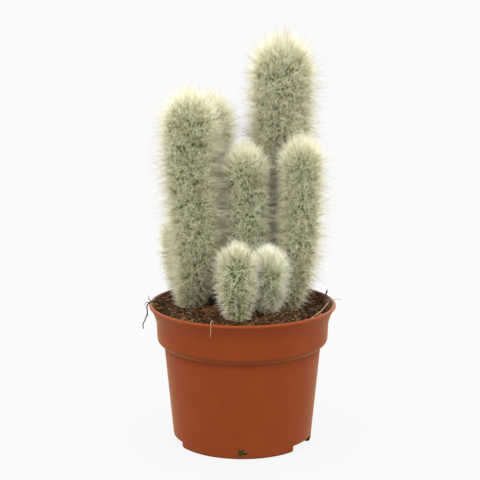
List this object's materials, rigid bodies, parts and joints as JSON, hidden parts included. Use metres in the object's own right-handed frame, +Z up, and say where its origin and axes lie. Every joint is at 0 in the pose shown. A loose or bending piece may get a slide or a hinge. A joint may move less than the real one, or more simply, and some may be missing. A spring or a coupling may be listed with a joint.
{
  "type": "potted tall cactus",
  "caption": "Clustering column cactus with bristly stems of different heights, growing in soil in a round tapered plastic nursery pot.",
  "frame": {"origin": "centre of the pot's foot, on the surface that the pot stands on", "axes": "+Z up; -Y is the front, the side with the short stem; +X to the right as seen from the front"},
  "size_m": [0.1288, 0.1204, 0.2519],
  "materials": {
    "pot_plastic": "satin",
    "potting_soil": "matte",
    "cactus_skin": "matte",
    "cactus_spines": "matte",
    "dry_root": "matte",
    "plant_fibre": "matte",
    "moss": "matte"
  },
  "bodies": {
    "root": {"pot": "pot_plastic", "soil": "potting_soil", "stem_left": "cactus_skin", "stem_back_left": "cactus_skin", "stem_tall": "cactus_skin", "stem_right": "cactus_skin", "stem_middle": "cactus_skin", "stem_front": "cactus_skin", "stem_offset_right": "cactus_skin", "stem_offset_left": "cactus_skin", "root_thread": "dry_root", "twig": "dry_root", "straw_fibre": "plant_fibre", "coir_strand": "plant_fibre", "lip_fibre": "plant_fibre", "drain_moss": "moss"}
  },
  "joints": []
}
